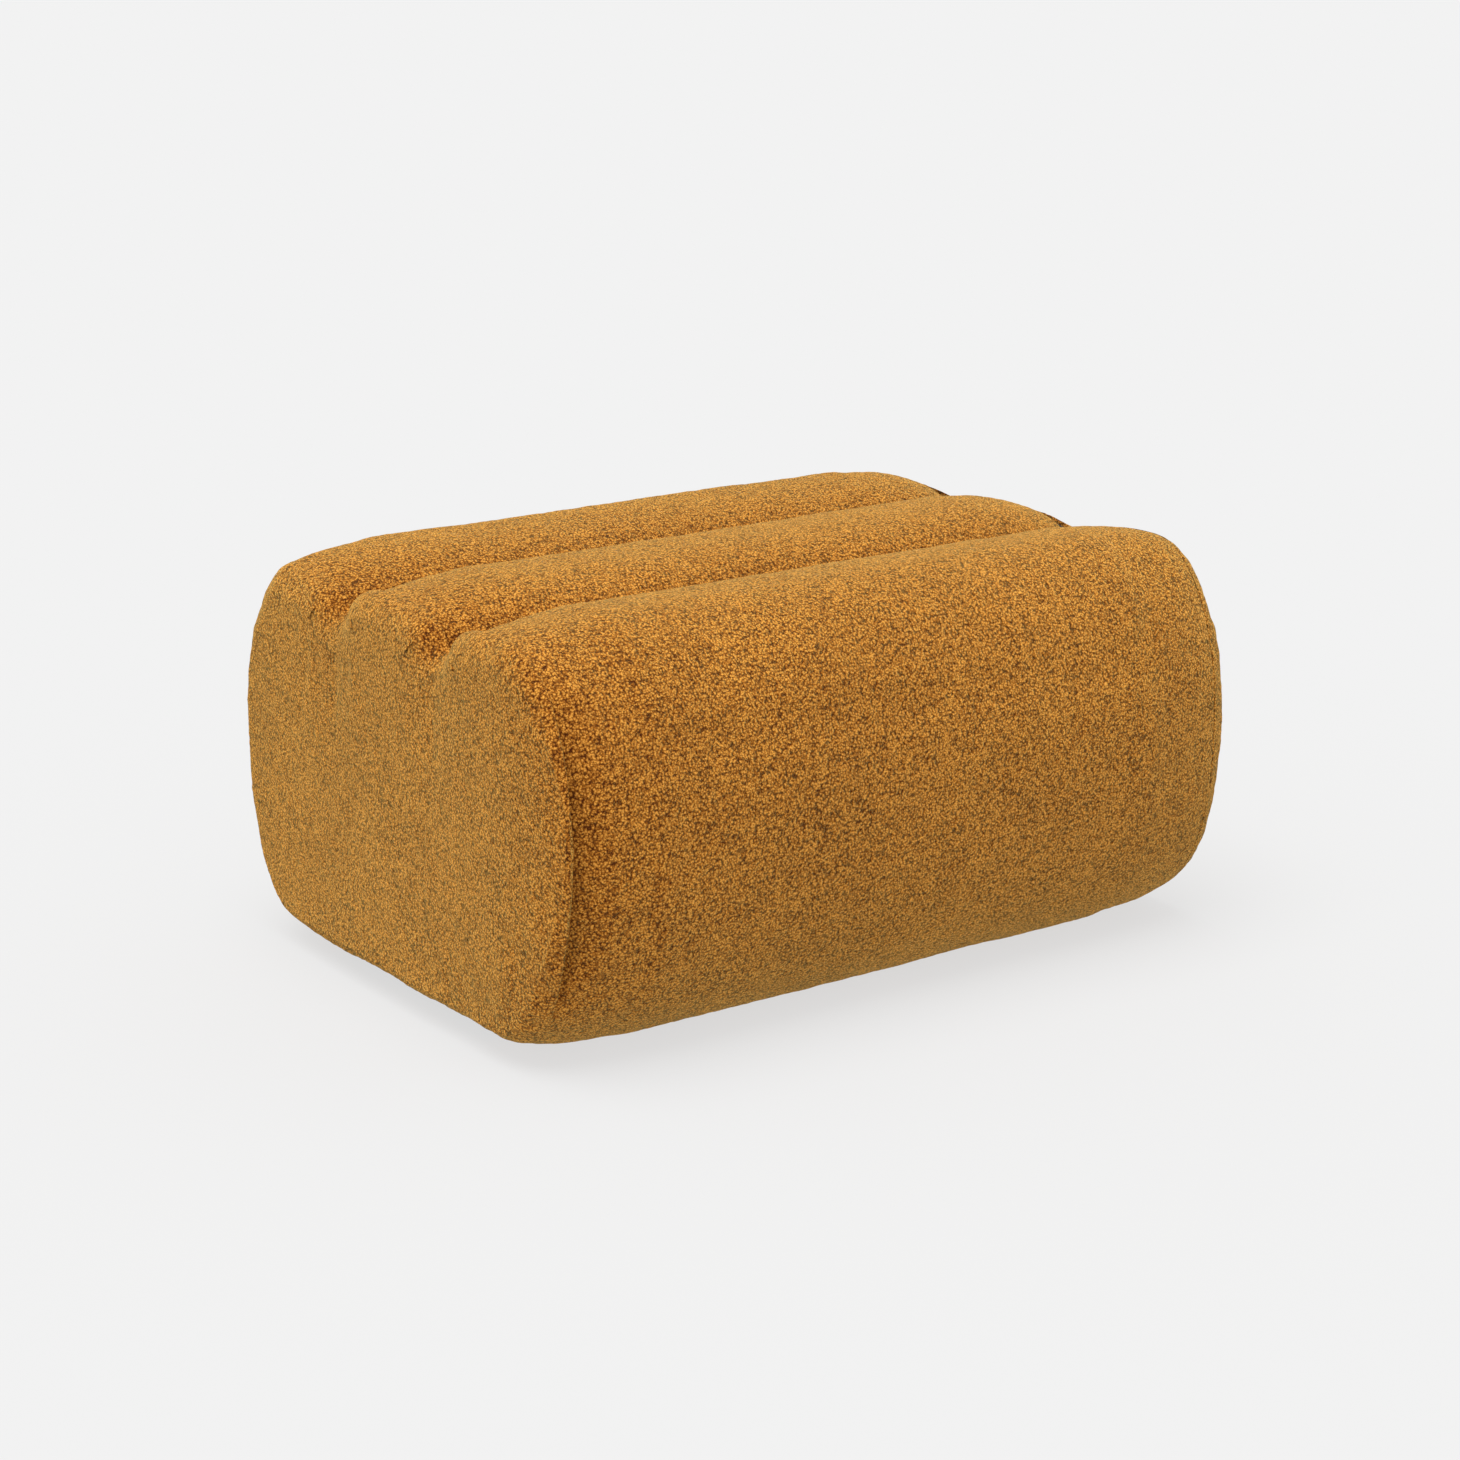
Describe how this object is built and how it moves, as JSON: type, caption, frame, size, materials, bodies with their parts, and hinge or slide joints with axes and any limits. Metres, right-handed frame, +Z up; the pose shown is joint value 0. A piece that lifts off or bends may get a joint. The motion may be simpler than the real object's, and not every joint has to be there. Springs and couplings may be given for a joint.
{
  "type": "storage ottoman",
  "caption": "Low upholstered ottoman with long parallel padded rolls on top and flat end panels; the middle and rear rolls form a hinged lid over a lined storage bin.",
  "frame": {"origin": "on the floor under the centre of the body", "axes": "+X along the rolls, +Y from the front towards the hinged back, +Z up"},
  "size_m": [0.82, 0.624, 0.415],
  "materials": {
    "boucle": "mustard teddy boucle pile",
    "foam": "upholstery foam",
    "lining": "dark woven lining cloth",
    "dust_cloth": "black non-woven cloth",
    "plywood": "raw plywood",
    "rail_wood": "raw pine",
    "steel": "zinc plated",
    "glide_plastic": "matte",
    "rest_rubber": "matte"
  },
  "bodies": {
    "base": {"base_pad": "foam", "base_screw_left_1": "steel", "base_screw_left_2": "steel", "base_screw_right_1": "steel", "base_screw_right_2": "steel", "bin_floor": "plywood", "bin_front_wall": "plywood", "bin_lining": "lining", "cheek_facing_left": "boucle", "cheek_facing_right": "boucle", "cross_rail_1": "rail_wood", "cross_rail_2": "rail_wood", "dust_cover": "dust_cloth", "end_board_left": "plywood", "end_board_right": "plywood", "end_cover_left": "boucle", "end_cover_right": "boucle", "end_pad_left": "foam", "end_pad_right": "foam", "front_board": "plywood", "front_corner_foam": "foam", "front_cover": "boucle", "front_deck": "plywood", "front_face_foam": "foam", "front_rail": "rail_wood", "front_rib_1": "plywood", "front_rib_2": "plywood", "front_roll_foam": "foam", "glide_1": "glide_plastic", "glide_2": "glide_plastic", "glide_3": "glide_plastic", "glide_4": "glide_plastic", "glide_5": "glide_plastic", "glide_6": "glide_plastic", "hinge_base_leaf_left": "steel", "hinge_base_leaf_right": "steel", "hinge_pin_left": "steel", "hinge_pin_right": "steel", "hinge_rail": "rail_wood", "lid_rest_strip": "rest_rubber", "rear_board": "plywood", "rear_corner_foam": "foam", "rear_cover": "boucle", "rear_face_foam": "foam", "rear_rail": "rail_wood", "rear_top_foam": "foam", "side_rail_left": "rail_wood", "side_rail_right": "rail_wood"},
    "lid": {"hinge_lid_leaf_left": "steel", "hinge_lid_leaf_right": "steel", "lid_board": "plywood", "lid_cover": "boucle", "lid_foam_middle": "foam", "lid_foam_rear": "foam", "lid_lining": "lining", "lid_screw_left_1": "steel", "lid_screw_left_2": "steel", "lid_screw_right_1": "steel", "lid_screw_right_2": "steel"}
  },
  "joints": [
    {"name": "lid_hinge", "type": "hinge", "parent": "base", "child": "lid", "pos_m": [0, 0.294, 0.306], "axis": [-1, 0, 0], "range_deg": [0, 85]}
  ]
}
